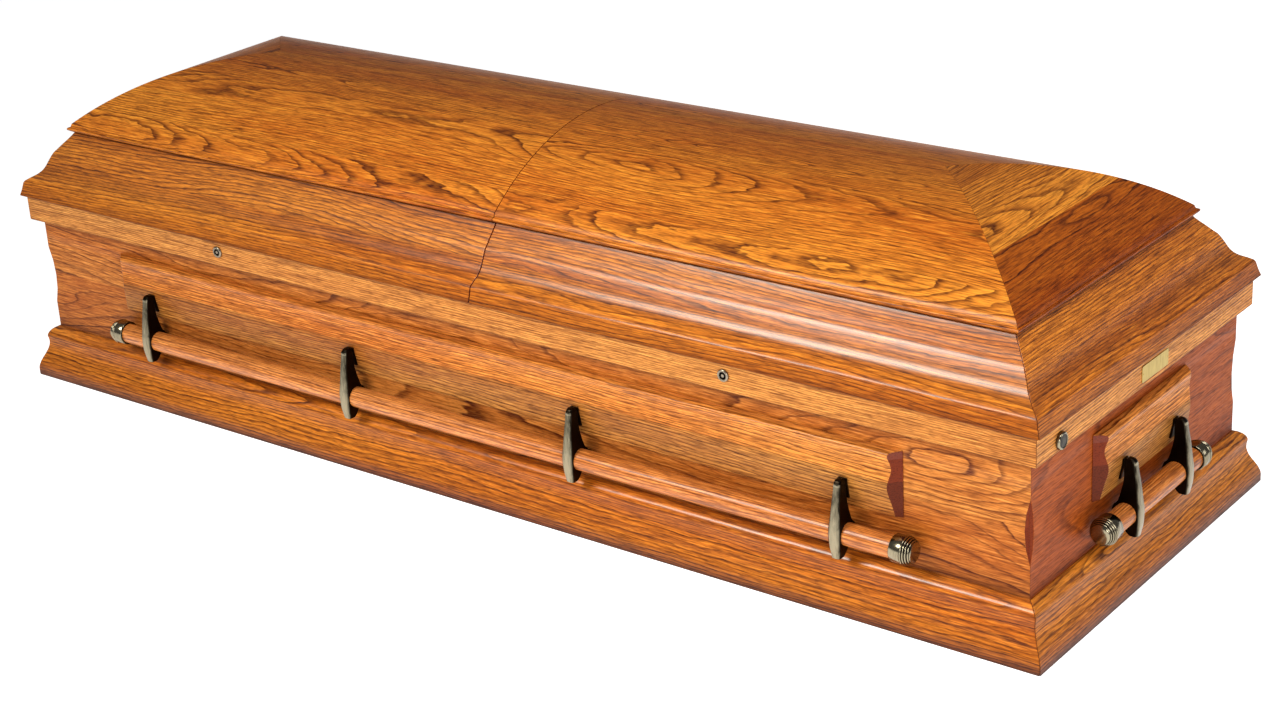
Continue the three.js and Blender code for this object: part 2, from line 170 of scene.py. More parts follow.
def noise(tree, place, scale, detail, roughness=0.5):
    sizes = {"Vector": place, "Scale": scale, "Detail": detail, "Roughness": roughness}
    return put(tree, "ShaderNodeTexNoise", sizes).outputs[0]


def blend(tree, share, first, second, mode="MIX"):
    colours = {0: share, 6: first, 7: second}
    return put(tree, "ShaderNodeMix", colours, data_type="RGBA", blend_type=mode).outputs[2]


def new_tree(name, kind, inputs, outputs):
    tree = bpy.data.node_groups.new(name, kind)
    for way, sockets in (("INPUT", inputs), ("OUTPUT", outputs)):
        for label, socket in sockets:
            tree.interface.new_socket(name=label, in_out=way, socket_type="NodeSocket" + socket)
    start = tree.nodes.new("NodeGroupInput")
    end = tree.nodes.new("NodeGroupOutput")
    return tree, start.outputs, end


def new_paint(name):
    paint = bpy.data.materials.new(name)
    paint.use_nodes = True
    return paint, paint.node_tree, paint.node_tree.nodes["Principled BSDF"]


def colour(red, green, blue):
    def straight(value):
        share = value / 255
        return share / 12.92 if share <= 0.04045 else ((share + 0.055) / 1.055) ** 2.4
    return (straight(red), straight(green), straight(blue), 1.0)


print("stain check", [round(v, 3) for v in colour(200, 115, 55)])

# %% [markdown]
# Oak shows growth rings. A board is a flat cut through them, so its figure is the distance from the heart of
# the tree: near the middle of a board the rings run out in long pointed arches, and beside it they turn into
# straight lines. The node group below does just that. It takes a place in the board (along, across, deep),
# cuts it into glued staves, gives each stave its own piece of tree and bends the heart with slow noise.
# A ring line is thin where the cut runs flat through the rings, wide where it crosses them steeply, and
# each year has a strength of its own. The group returns the ring lines, the part of the year, the open
# pores, the fine fibre, a slow change of tone and a number for each stave.

# %% Oak figure
figure, given, result = new_tree(
    "oak_figure", "ShaderNodeTree",
    [("Place", "Vector"), ("Stave Width", "Float"), ("Stave Shift", "Float"), ("Ring Width", "Float"),
     ("Bend", "Float"), ("Heart", "Float"), ("Seed", "Float")],
    [(label, "Float") for label in ("Rings", "Summer", "Pores", "Fibre", "Tone", "Stave")],
)


def work_out(operation, first, second=0.0, third=0.0):
    return calc(figure, operation, first, second, third)


STAVE_MOVE = 9.0
LINE_THIN = 0.11
LINE_WIDE = 0.46
LINE_CLOSES = 0.94
along, across, deep = split(figure, given["Place"])
counted = work_out("ADD", work_out("DIVIDE", across, given["Stave Width"]), given["Stave Shift"])
stave = work_out("FLOOR", counted)
from_centre = work_out("SUBTRACT", work_out("FRACT", counted), 0.5)
within = work_out("MULTIPLY", from_centre, given["Stave Width"])
stave_seed = work_out("ADD", stave, given["Seed"])
chance = put(figure, "ShaderNodeTexWhiteNoise", {"W": stave_seed}, noise_dimensions="1D")
chances = split(figure, chance.outputs["Color"])
moved = work_out("MULTIPLY_ADD", chances[2], STAVE_MOVE, along)


def board_noise(along_scale, across_scale, detail, roughness, stave_step=None):
    if stave_step is None:
        sideways = work_out("MULTIPLY", across, across_scale)
    else:
        sideways = work_out("MULTIPLY_ADD", stave, stave_step, work_out("MULTIPLY", within, across_scale))
    place = vector_of(
        figure, work_out("MULTIPLY", moved, along_scale), sideways, work_out("MULTIPLY", deep, across_scale))
    return noise(figure, place, 1.0, detail, roughness)


slow = board_noise(1.1, 4.0, 1.6, 0.45, stave_step=3.7)
fine = board_noise(7.0, 26.0, 3.0, 0.6, stave_step=5.1)
tone = board_noise(1.1, 12.0, 2.0, 0.5, stave_step=2.3)
streak = board_noise(20.0, 380.0, 2.0, 0.55)
pores = remap(figure, board_noise(60.0, 560.0, 1.0, 0.5), 0.5, 0.66)
bent = work_out("MULTIPLY", work_out("SUBTRACT", slow, 0.5), given["Bend"])
ripple_size = work_out("MULTIPLY", given["Bend"], 0.11)
ripple = work_out("MULTIPLY", work_out("SUBTRACT", fine, 0.5), ripple_size)
aside_size = work_out("MULTIPLY", given["Stave Width"], 1.15)
aside = work_out("MULTIPLY", work_out("SUBTRACT", chances[0], 0.5), aside_size)
from_middle = work_out("ADD", work_out("ADD", within, aside), work_out("MULTIPLY", bent, 0.3))
apart = work_out("MULTIPLY", work_out("MULTIPLY_ADD", chances[1], 0.7, 0.55), given["Heart"])
heart = work_out("ADD", apart, work_out("ADD", deep, bent))
squares = (work_out("MULTIPLY", from_middle, from_middle), work_out("MULTIPLY", heart, heart))
radius = work_out("SQRT", work_out("ADD", *squares))
slope = work_out("DIVIDE", work_out("ABSOLUTE", from_middle), work_out("ADD", radius, 0.001))
distance = work_out("MULTIPLY_ADD", ripple, work_out("MULTIPLY_ADD", slope, 0.8, 0.3), radius)
line_share = remap(figure, slope, 0.0, 0.5, LINE_THIN, LINE_WIDE)
growth = {"W": work_out("MULTIPLY", distance, 55.0), "Scale": 1.0, "Detail": 1.0}
uneven = put(figure, "ShaderNodeTexNoise", growth, noise_dimensions="1D")
even_years = work_out("DIVIDE", distance, given["Ring Width"])
years = work_out("MULTIPLY_ADD", uneven.outputs[0], 1.3, even_years)
year = work_out("FRACT", years)
fading = remap(
    figure, work_out("DIVIDE", year, line_share), to_low=1.0, to_high=0.0, interpolation_type="SMOOTHSTEP")
closing = remap(figure, year, LINE_CLOSES, interpolation_type="SMOOTHSTEP")
whole_year = work_out("FLOOR", work_out("ADD", years, 0.5))
year_chance = put(figure, "ShaderNodeTexWhiteNoise", {"W": whole_year}, noise_dimensions="1D")
strength = work_out("MULTIPLY_ADD", year_chance.outputs["Value"], 0.5, 0.62)
ring_line = work_out("MULTIPLY", work_out("MAXIMUM", fading, closing), strength)
give(figure, result, {
    "Rings": ring_line, "Summer": year, "Pores": pores, "Fibre": streak, "Tone": tone,
    "Stave": chance.outputs["Value"],
})
print("oak figure nodes", len(figure.nodes))

# %% [markdown]
# The finish on the wood is a warm stain under a clear lacquer. The stain sinks into the open rings and leaves
# them dark, and takes less in the hard wood between, so the colour follows the figure. Over it lies painted
# shade and painted highlight, a ramp of shares by height: darker near the floor, in the grooves, under the
# overhangs and towards the ridge, lighter on the beads. The lacquer is the coat of the shader. It is polished
# on the lids and on two beads, and satin on the rest, where a full coat would mirror the floor.
# The pores press a faint relief into the wood.
# A piece made here carries its own board place as an attribute. A piece of the measured model has none, so
# its place comes from Object coordinates, turned so that the grain runs the right way.

# %% Oak finish
BOARD_AXES = {"long": (0, 2, 1), "cross": (1, 2, 0), "flat": (0, 1, 2)}
SCOOPED_FACES = {"long": (0.3285, 1), "cross": (1.028, 0)}
SCOOP_MIDDLE = 0.198
SCOOP_REACH = 0.060
SCOOP_DEPTH = 0.012
FLUSH = 0.0004


def board_place(tree, grain):
    if grain == "own":
        return put(tree, "ShaderNodeAttribute", attribute_name="board").outputs["Vector"]
    xyz = split(tree, object_place(tree))
    return vector_of(tree, *[xyz[axis] for axis in BOARD_AXES[grain]])


def sawn_share(tree, grain):
    if grain == "own":
        return put(tree, "ShaderNodeAttribute", attribute_name="end_grain").outputs["Fac"]
    if grain == "flat":
        return 0.0
    xyz = split(tree, object_place(tree))
    face, axis = SCOOPED_FACES[grain]
    inwards = calc(tree, "SUBTRACT", face, calc(tree, "ABSOLUTE", xyz[axis]))
    cut_in = calc(tree, "GREATER_THAN", inwards, FLUSH)
    shallow = calc(tree, "LESS_THAN", inwards, SCOOP_DEPTH)
    middle = calc(tree, "COMPARE", xyz[2], SCOOP_MIDDLE, SCOOP_REACH)
    return calc(tree, "MULTIPLY", calc(tree, "MULTIPLY", cut_in, shallow), middle)


# Painted shade and painted highlight by height: a share under 1 darkens the wood where shade falls, a share
# over 1 lightens a bead as a highlight.
PAINTED_SHADE_TOP = 0.6
PAINTED_SHADE_AND_HIGHLIGHT = [
    (0.000, 0.10), (0.008, 0.34), (0.022, 0.80), (0.050, 1.02), (0.070, 0.76), (0.082, 0.90), (0.090, 1.20),
    (0.095, 0.90), (0.097, 0.42), (0.112, 0.88), (0.135, 1.0), (0.285, 1.0), (0.303, 0.70), (0.3076, 0.5),
    (0.311, 1.02), (0.351, 1.02), (0.3555, 0.36), (0.363, 0.70), (0.381, 0.84), (0.388, 1.20), (0.396, 0.76),
    (0.409, 0.74), (0.424, 1.0), (0.445, 1.06), (0.461, 0.92), (0.4664, 0.34), (0.4685, 0.60), (0.475, 0.92),
    (0.530, 0.98), (0.560, 0.88), (0.584, 0.66),
]


def painted_shade_ramp(tree):
    height = split(tree, object_place(tree))[2]
    ramp = put(tree, "ShaderNodeValToRGB", {0: calc(tree, "DIVIDE", height, PAINTED_SHADE_TOP)})
    stops = ramp.color_ramp.elements
    stops.remove(stops[1])
    for place, share in PAINTED_SHADE_AND_HIGHLIGHT:
        stop = stops[0] if place == 0 else stops.new(place / PAINTED_SHADE_TOP)
        stop.color = (share, share ** 1.25, share ** 1.6, 1)
    return ramp.outputs[0]


SATIN_BELOW = 0.374
POLISHED_ABOVE = 0.390
POLISHED_BEADS = ((0.0905, 0.006), (0.271, 0.007))
COAT_ROUGHNESS = 0.28


def lacquer(tree, coat, satin):
    height = split(tree, object_place(tree))[2]
    polish = remap(tree, height, SATIN_BELOW, POLISHED_ABOVE, coat * satin, coat)
    beads = [calc(tree, "COMPARE", height, middle, reach) for middle, reach in POLISHED_BEADS]
    on_beads = calc(tree, "MULTIPLY", calc(tree, "MAXIMUM", *beads), coat)
    return calc(tree, "MAXIMUM", polish, on_beads)


def oak(name, light, middle, dark, grain="own", stave=0.3, shift=0.0, ring=0.0042, bend=0.09, heart=0.06,
        seed=0.0, depth=1.0, roughness=0.45, coat=0.4, satin=0.25, low_board=None):
    light, middle, dark = colour(*light), colour(*middle), colour(*dark)
    paint, tree, shader = new_paint(name)
    place = board_place(tree, grain)
    out = put(tree, "ShaderNodeGroup", {
        "Place": place, "Stave Width": stave, "Stave Shift": shift, "Ring Width": ring, "Bend": bend,
        "Heart": heart, "Seed": seed}, node_tree=figure).outputs
    ground = blend(tree, remap(tree, out["Tone"], 0.3, 0.7), light, middle)
    ground = blend(tree, remap(tree, out["Summer"], 0.1, 0.9, 0.5, 0.0), ground, middle)
    ground = blend(tree, remap(tree, out["Fibre"], 0.48, 0.74, to_high=0.74), ground, dark)
    bright = tuple(min(1.0, value * 1.25) for value in light)
    ground = blend(tree, remap(tree, out["Fibre"], 0.46, 0.28, to_high=0.72), ground, bright)
    open_pores = calc(tree, "MULTIPLY_ADD", out["Pores"], 0.25, 0.75)
    lines = calc(tree, "MULTIPLY", calc(tree, "MULTIPLY", out["Rings"], open_pores), depth)
    stained = blend(tree, lines, ground, dark)
    stained = blend(tree, calc(tree, "MULTIPLY", out["Pores"], 0.38), stained, dark)
    shade = remap(tree, out["Stave"], to_low=0.86, to_high=1.08)
    grey = put(tree, "ShaderNodeCombineColor", {0: shade, 1: shade, 2: shade}).outputs[0]
    stained = blend(tree, 1.0, stained, grey, "MULTIPLY")
    end_pores = calc(tree, "MULTIPLY", out["Pores"], 0.45)
    end_stain = blend(tree, end_pores, colour(120, 44, 12), colour(58, 18, 4))
    stained = blend(tree, sawn_share(tree, grain), stained, end_stain)
    if low_board:
        edge, tint = low_board
        below = calc(tree, "LESS_THAN", split(tree, place)[1], edge)
        stained = blend(tree, below, stained, blend(tree, 1.0, stained, tint, "MULTIPLY"))
    # Painted shade and painted highlight by height are multiplied into the stain of the lacquered wood.
    if coat:
        stained = blend(tree, 1.0, stained, painted_shade_ramp(tree), "MULTIPLY")
    relief = calc(tree, "MULTIPLY", out["Fibre"], 0.4)
    relief = calc(tree, "SUBTRACT", relief, calc(tree, "MULTIPLY", lines, 0.6))
    bump = put(tree, "ShaderNodeBump", {"Height": relief, "Strength": 0.12, "Distance": 0.0006})
    give(tree, shader, {
        "Base Color": stained, "Roughness": calc(tree, "MULTIPLY_ADD", out["Pores"], 0.12, roughness),
        "Coat Weight": lacquer(tree, coat, satin) if satin else coat, "Coat Roughness": COAT_ROUGHNESS,
        "Specular IOR Level": 0.1, "Normal": bump.outputs[0],
    })
    return paint


CROWN_CUT = {"stave": 0.125, "ring": 0.0036, "bend": 0.10, "heart": 0.12, "seed": 8, "coat": 0.3}
WALL_CUT = {"stave": 0.15, "shift": 0.633}
lid_oak = oak("lid_oak", (236, 150, 48), (202, 104, 24), (64, 14, 0), **CROWN_CUT)
crown_end_oak = oak("crown_end_oak", (232, 148, 48), (200, 106, 22), (64, 14, 0), **CROWN_CUT,
                    low_board=(0.875, (0.62, 0.42, 0.2, 1)))
moulding_oak = oak("moulding_oak", (226, 138, 40), (192, 98, 18), (66, 16, 0), heart=0.10, seed=11, coat=0.9)
band_oak = oak("band_oak", (238, 162, 80), (214, 130, 56), (88, 30, 2), ring=0.0034, bend=0.08, heart=0.14,
               seed=19, depth=0.9, coat=0.2)
long_wall_oak = oak("long_wall_oak", (230, 152, 72), (200, 112, 40), (80, 22, 0), "long", **WALL_CUT,
                    bend=0.10, heart=0.11, seed=39, coat=0.2, low_board=(0.205, (0.86, 0.78, 0.70, 1)))
end_wall_oak = oak("end_wall_oak", (184, 90, 28), (158, 70, 14), (84, 26, 0), "cross", **WALL_CUT,
                   ring=0.0030, bend=0.05, heart=0.2, seed=37, depth=0.7, coat=0.15)
applied_oak = oak("applied_oak", (233, 153, 69), (200, 111, 41), (70, 18, 0), heart=0.10, seed=43,
                  low_board=(0.228, (0.66, 0.72, 0.78, 1)))
bar_oak = oak("bar_oak", (234, 152, 78), (206, 116, 44), (84, 24, 0), ring=0.0034, bend=0.035, heart=0.03,
              seed=83, coat=0.6, satin=0.0)
bare_oak = oak("bare_oak", (206, 160, 104), (186, 138, 84), (140, 96, 54), "flat", stave=0.14, ring=0.004,
               seed=61, depth=0.5, roughness=0.6, coat=0.0, satin=0.0)
print("oak finishes", len([m for m in bpy.data.materials if m.name.endswith("oak")]))

# %% [markdown]
# The handles are cast metal with an antique finish: dark in the hollows and rubbed bright on the ridges.
# A vertex attribute holds how proud each spot is, from 0 in a hollow to 1 on a ridge, because the maker
# polishes exactly those spots. On each arm it also holds painted light: painted shade on the head cap and a
# painted highlight band just below it. The colour and the roughness follow it, with a little cloudy tarnish
# that is drawn out upwards, as a brush leaves it.

# %% Metal finishes
BRUSHED = (1.0, 1.0, 0.12)
TARNISH_SCALE = 420.0
TARNISH_SHARE = 0.7


def metal(name, bright, dark, smooth, rough):
    paint, tree, shader = new_paint(name)
    # The vertex attribute read here is wear on the ridges, plus painted shade and a painted highlight on the
    # arm heads.
    wear_and_light = put(tree, "ShaderNodeAttribute", attribute_name="wear_and_light").outputs["Fac"]
    brushed = put(tree, "ShaderNodeMapping", {"Vector": object_place(tree), "Scale": BRUSHED}).outputs[0]
    cloud = noise(tree, brushed, TARNISH_SCALE, 3.0)
    tarnish = calc(tree, "MULTIPLY", calc(tree, "SUBTRACT", cloud, 0.5), TARNISH_SHARE)
    share = remap(tree, calc(tree, "ADD", wear_and_light, tarnish), 0.15, 0.85)
    bump = put(tree, "ShaderNodeBump", {"Height": cloud, "Strength": 0.03, "Distance": 0.0004})
    give(tree, shader, {
        "Base Color": blend(tree, share, colour(*dark), colour(*bright)), "Metallic": 1.0,
        "Roughness": remap(tree, share, to_low=rough, to_high=smooth), "Normal": bump.outputs[0],
    })
    return paint


antique_metal = metal("antique_metal", (150, 140, 116), (28, 23, 17), 0.16, 0.3)
pale_brass = metal("pale_brass", (190, 164, 92), (118, 92, 44), 0.34, 0.5)
dark_socket = metal("dark_socket", (150, 138, 120), (12, 9, 7), 0.3, 0.6)
print("metal finishes", antique_metal.name, pale_brass.name, dark_socket.name)

# %% [markdown]
# Mouldings, bands and lid panels are all lengths of one section, cut to a mitre or square at each end. A
# joiner sets up the cutter once and runs every length through it. The node tree works the same way: it takes
# a section drawn as inset from the foot of the coffin and height, pulls it out along the side, and slides
# each end back by its mitre times the inset. It also writes the board place that the oak finish reads.

# %% Tree for a mitred run
def paint_and_end(tree, geometry, material, end):
    real = put(tree, "GeometryNodeRealizeInstances", {"Geometry": geometry})
    painted = put(tree, "GeometryNodeSetMaterial", {"Geometry": real.outputs[0], "Material": material})
    tree.links.new(painted.outputs[0], end.inputs[0])


run_tree, run_in, run_out = new_tree(
    "mitred_run", "GeometryNodeTree",
    [("Geometry", "Geometry"), ("Reach", "Float"), ("Start Place", "Float"), ("Start Mitre", "Float"),
     ("End Place", "Float"), ("End Mitre", "Float"), ("Turn", "Float"), ("Board Turn", "Float"),
     ("Board Shift", "Vector"), ("Material", "Material")],
    [("Geometry", "Geometry")],
)


def reckon(operation, first, second=0.0, third=0.0):
    return calc(run_tree, operation, first, second, third)


def store(geometry, name, value, data_type, domain):
    values = {"Geometry": geometry, "Name": name, "Value": value}
    node = put(run_tree, "GeometryNodeStoreNamedAttribute", values, data_type=data_type, domain=domain)
    return node.outputs[0]


pull = {"Mesh": run_in["Geometry"], "Offset": vector_of(run_tree, 0.0, 1.0, 0.0), "Offset Scale": 1.0}
pulled = put(run_tree, "GeometryNodeExtrudeMesh", pull, mode="FACES")
near_cap = put(run_tree, "GeometryNodeFlipFaces", {"Mesh": run_in["Geometry"]})
whole = put(run_tree, "GeometryNodeJoinGeometry")
run_tree.links.new(near_cap.outputs[0], whole.inputs[0])
run_tree.links.new(pulled.outputs["Mesh"], whole.inputs[0])
merged = put(run_tree, "GeometryNodeMergeByDistance", {"Geometry": whole.outputs[0], "Distance": 0.00001})
inset, pulled_share, rise = split(run_tree, put(run_tree, "GeometryNodeInputPosition").outputs[0])
start_at = reckon("MULTIPLY_ADD", inset, run_in["Start Mitre"], run_in["Start Place"])
end_at = reckon("MULTIPLY_ADD", inset, run_in["End Mitre"], run_in["End Place"])
length_at = reckon("MULTIPLY_ADD", pulled_share, reckon("SUBTRACT", end_at, start_at), start_at)
outwards = reckon("SUBTRACT", run_in["Reach"], inset)
laid = {"Vector": vector_of(run_tree, length_at, reckon("MULTIPLY", outwards, -1.0), rise)}
turned_round = put(run_tree, "ShaderNodeVectorRotate", {**laid, "Angle": run_in["Turn"]},
                   rotation_type="Z_AXIS")
board_cos = reckon("COSINE", run_in["Board Turn"])
board_sin = reckon("SINE", run_in["Board Turn"])
board_across = reckon("MULTIPLY_ADD", rise, board_cos, reckon("MULTIPLY", inset, board_sin))
board_deep = reckon("SUBTRACT", reckon("MULTIPLY", inset, board_cos), reckon("MULTIPLY", rise, board_sin))
board_spot = {0: vector_of(run_tree, length_at, board_across, board_deep), 1: run_in["Board Shift"]}
board_vector = put(run_tree, "ShaderNodeVectorMath", board_spot, operation="ADD").outputs[0]
noted = store(merged.outputs[0], "board", board_vector, "FLOAT_VECTOR", "POINT")
facing = split(run_tree, put(run_tree, "GeometryNodeInputNormal").outputs[0])
sawn_end = reckon("GREATER_THAN", reckon("ABSOLUTE", facing[1]), 0.9)
ended = store(noted, "end_grain", sawn_end, "FLOAT", "FACE")
placed = put(run_tree, "GeometryNodeSetPosition", {"Geometry": ended, "Position": turned_round.outputs[0]})
paint_and_end(run_tree, placed.outputs[0], run_in["Material"], run_out)
print("mitred run nodes", len(run_tree.nodes))

# %% [markdown]
# A modifier can be told its values only by the identifiers of its sockets, and its result is kept by turning
# the evaluated object into a plain mesh. After that the piece is tidied as in a workshop: the doubled points
# are joined, faces are turned outwards, and the sharp arrises get the small rounding that sandpaper leaves.
# The other helpers draw a smooth line through given points, and skin a row of rings with faces.

# %% Helpers that bake and finish a piece
def bake(name, mesh, tree, values):
    holder = link_object(name, mesh)
    modifier = holder.modifiers.new(tree.name, "NODES")
    modifier.node_group = tree
    identifiers = {item.name: item.identifier for item in tree.interface.items_tree if item.in_out == "INPUT"}
    for label, value in values.items():
        modifier[identifiers[label]] = value
    depsgraph = bpy.context.evaluated_depsgraph_get()
    made = bpy.data.meshes.new_from_object(
        holder.evaluated_get(depsgraph), preserve_all_data_layers=True, depsgraph=depsgraph)
    holder.modifiers.clear()
    holder.data = made
    made.name = name
    return holder


def finish_piece(piece, body, replaced=(), arris=0.0014, corner=28):
    work = bmesh.new()
    work.from_mesh(piece.data)
    bmesh.ops.remove_doubles(work, verts=work.verts, dist=0.00001)
    bmesh.ops.recalc_face_normals(work, faces=work.faces)
    work.to_mesh(piece.data)
    work.free()
    for face in piece.data.polygons:
        face.use_smooth = True
    if arris:
        rounding = piece.modifiers.new("arris", "BEVEL")
        rounding.width = arris
        rounding.segments = 2
        rounding.limit_method = "ANGLE"
        rounding.angle_limit = math.radians(corner)
        rounding.harden_normals = True
    else:
        piece.data.set_sharp_from_angle(angle=math.radians(corner))
    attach(piece, body)
    if replaced:
        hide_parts(*replaced)
    return piece


def ease(start, stop, leave, arrive, share):
    return ((2 * share ** 3 - 3 * share ** 2 + 1) * start + (share ** 3 - 2 * share ** 2 + share) * leave
            + (3 * share ** 2 - 2 * share ** 3) * stop + (share ** 3 - share ** 2) * arrive)


def smooth_line(points, steps):
    line = []
    last = len(points) - 1
    for step in range(steps + 1):
        place = step / steps * last
        first = min(int(place), last - 1)
        near = (points[max(first - 1, 0)], points[first], points[first + 1], points[min(first + 2, last)])
        spot = []
        for before, low, high, after in zip(*near):
            spot.append(ease(low, high, (high - before) / 2, (after - low) / 2, place - first))
        line.append(tuple(spot))
    return line


def section_mesh(name, outline):
    mesh = bpy.data.meshes.new(name)
    mesh.from_pydata([(x / 1000, 0, z / 1000) for x, z in outline], [], [tuple(range(len(outline)))])
    return mesh


def skin(work, rings):
    count = max(len(ring) for ring in rings)
    for low, high in zip(rings, rings[1:]):
        for step in range(count):
            following = (step + 1) % count
            corners = [low[step % len(low)], low[following % len(low)],
                       high[following % len(high)], high[step % len(high)]]
            distinct = list(dict.fromkeys(corners))
            if len(distinct) > 2:
                work.faces.new(distinct)
    for ring in (rings[0], rings[-1]):
        if len(ring) > 1:
            work.faces.new(ring)


def mesh_of(work, name):
    bmesh.ops.recalc_face_normals(work, faces=work.faces)
    mesh = bpy.data.meshes.new(name)
    work.to_mesh(mesh)
    work.free()
    return mesh


HALF_LENGTH = 1.065
HALF_WIDTH = 0.3655
JOINT_GAP = 0.0002
SIDES = {
    "front": {"reach": HALF_WIDTH, "half": HALF_LENGTH, "turn": 0.0},
    "foot": {"reach": HALF_LENGTH, "half": HALF_WIDTH, "turn": math.pi / 2},
    "back": {"reach": HALF_WIDTH, "half": HALF_LENGTH, "turn": math.pi},
    "head": {"reach": HALF_LENGTH, "half": HALF_WIDTH, "turn": -math.pi / 2},
}


def run(name, outline, side, paint, start=None, end=None, board_turn=0.0, shift=(0, 0, 0)):
    spec = SIDES[side]
    start_place, start_mitre = start or (-spec["half"] + JOINT_GAP, 1.0)
    end_place, end_mitre = end or (spec["half"] - JOINT_GAP, -1.0)
    return bake(name, section_mesh(name, outline), run_tree, {
        "Reach": spec["reach"], "Start Place": start_place, "Start Mitre": start_mitre,
        "End Place": end_place, "End Mitre": end_mitre, "Turn": spec["turn"],
        "Board Turn": board_turn, "Board Shift": shift, "Material": paint,
    })


print("sides", list(SIDES))

# %% [markdown]
# The base moulding carries the whole coffin. It is a wide foot with a long hollow curve, a neck and a bead at
# the top, cut from one thick oak board per side and mitred at the corners.

# %% Base mouldings
base_face = smooth_line([
    (0, 12.8), (1, 19), (5, 29.6), (11, 41), (15.7, 51), (18.5, 61.5), (18.4, 70), (17.4, 76.4), (19.1, 82),
    (22.6, 87), (28.5, 91.5),
], 48)
base_section = [(36.7, 0), (0, 0), *base_face, (36.7, 95)]
for number, side in enumerate(SIDES):
    shift = (number * 2.7, number * 0.41, 0.01)
    piece = run(f"{side}_base_moulding_oak", base_section, side, moulding_oak, shift=shift)
    finish_piece(piece, "coffin_box", [f"{side}_base_moulding"])
print("base section points", len(base_section))

# %% [markdown]
# A flat band runs round the top of the walls, under the lids. It hides the top edge of the wall boards.

# %% Rim bands
band_section = [(36.7, 307.7), (21.1, 307.7), (19.6, 309.2), (19.6, 355.2), (36.7, 355.2)]
for number, side in enumerate(SIDES):
    shift = (number * 3.1, number * 0.37, 0.0)
    piece = run(f"{side}_band_oak", band_section, side, band_oak, shift=shift)
    finish_piece(piece, "coffin_box", [f"{side}_rim_band"])
print("band height", round((355.2 - 307.7) / 1000, 4))

# %% [markdown]
# The moulding on each wall is a separate length, glued on behind the handles. Its ends are cut back at 45
# degrees, so the end grain shows as a dark wavy outline, and it is made of two staves of different colour.

# %% Applied mouldings
WALL_INSET = 0.037
APPLIED_FOOT = 170
APPLIED_LENGTHS = {"front": 1.649, "back": 1.649, "foot": 0.301, "head": 0.301}
applied_face = smooth_line([
    (9.4, 2.5), (13.5, 24), (17.2, 41), (18, 52.5), (15.6, 65), (13.4, 76), (14.6, 87), (17.3, 97),
    (16.2, 102.8), (10.5, 105.6),
], 44)
applied_section = [(0.3, 0), *applied_face, (0.3, 106.5)]
for number, side in enumerate(SIDES):
    outline = [(WALL_INSET * 1000 - depth, APPLIED_FOOT + height) for depth, height in applied_section]
    cut = APPLIED_LENGTHS[side] / 2 - WALL_INSET
    piece = run(
        f"{side}_applied_moulding_oak", outline, side, applied_oak,
        start=(-cut, -1.0), end=(cut, 1.0), shift=(number * 4.3, 0, 0.01))
    finish_piece(piece, "coffin_box", [f"{side}_applied_moulding"])
print("applied section points", len(applied_section))

# %% [markdown]
# Each lid is a frame of a flange, a step and a tall hollow curve, which is called a cove, run round three
# sides. It is hollow behind. The lengths meet in mitres at the outer corners and are cut square at the seam
# between the lids, where a plain header closes the frame.

# %% Lid frames
LID_SEAT = 355.5
SEAM = 0.038
SEAM_HALF = 0.00075
cove_face = smooth_line([
    (27.4, 32.5), (36, 37.5), (43, 43.5), (48.7, 51.5), (54, 62.5), (61, 75.5), (68, 83.5), (75, 91.5),
    (82, 99), (88.5, 106.5),
], 44)
flange_face = [(57, 0), (10.5, 0), (14.5, 12.5), (17.5, 24.5), (19.5, 27.5)]
lid_outline = [*flange_face, *cove_face, (91.5, 110.5), (125.5, 110.5), (57, 16)]
lid_section = [(inset, LID_SEAT + height) for inset, height in lid_outline]


def lid_ends(side, lid):
    edge = SEAM + SEAM_HALF if lid == "foot" else SEAM - SEAM_HALF
    if side == "front":
        return {"start": (edge, 0.0)} if lid == "foot" else {"end": (edge, 0.0)}
    if side == "back":
        return {"end": (-edge, 0.0)} if lid == "foot" else {"start": (-edge, 0.0)}
    return {}


LID_SIDES = {"head": ("front", "head", "back"), "foot": ("front", "foot", "back")}
for lid, lid_sides in LID_SIDES.items():
    for number, side in enumerate(lid_sides):
        piece = run(
            f"{lid}_lid_cove_{side}", lid_section, side, moulding_oak, board_turn=0.9,
            shift=(number * 5.3 + (2.1 if lid == "foot" else 0), number * 0.53, 0.02), **lid_ends(side, lid))
        finish_piece(piece, "coffin_box", [f"{lid}_lid_frame"])
print("lid section points", len(lid_section))

# %% [markdown]
# The header is a plain board across the open end of each lid frame. It is shaped to the sloping inside of the
# frame, and is seen only through the seam and from below.

# %% Lid headers
HEADER_THICKNESS = 0.020
HEADER_GAP = 0.002
header_outline = [(58.5, 357.5), (58.5, 372.5), (86, 401.5), (645, 401.5), (672.5, 372.5), (672.5, 357.5)]
for lid, direction in (("head", -1), ("foot", 1)):
    name = f"{lid}_lid_header"
    near = SEAM + direction * (SEAM_HALF + HEADER_GAP)
    centred = [(x - HALF_WIDTH * 1000, z) for x, z in header_outline]
    piece = bake(name, section_mesh(name, centred), run_tree, {
        "Reach": 0.0, "Start Place": near, "Start Mitre": 0.0,
        "End Place": near + direction * HEADER_THICKNESS, "End Mitre": 0.0, "Turn": 0.0,
        "Board Turn": 0.0, "Board Shift": (0, 0, 0), "Material": bare_oak,
    })
    finish_piece(piece, "coffin_box", [f"{lid}_lid_frame"])
print("header thickness", HEADER_THICKNESS)

# %% [markdown]
# The crown of each lid is a shallow vault of oak staves, bent over a form and glued, then mitred along the
# hips where the end panel meets the long ones. Its arch is one circle, found from its width and its rise.
# The panels are lengths of that arch, so the same tree makes them: at the hips each end slides back with
# the inset. The lip at the foot of the arch is rounded over.

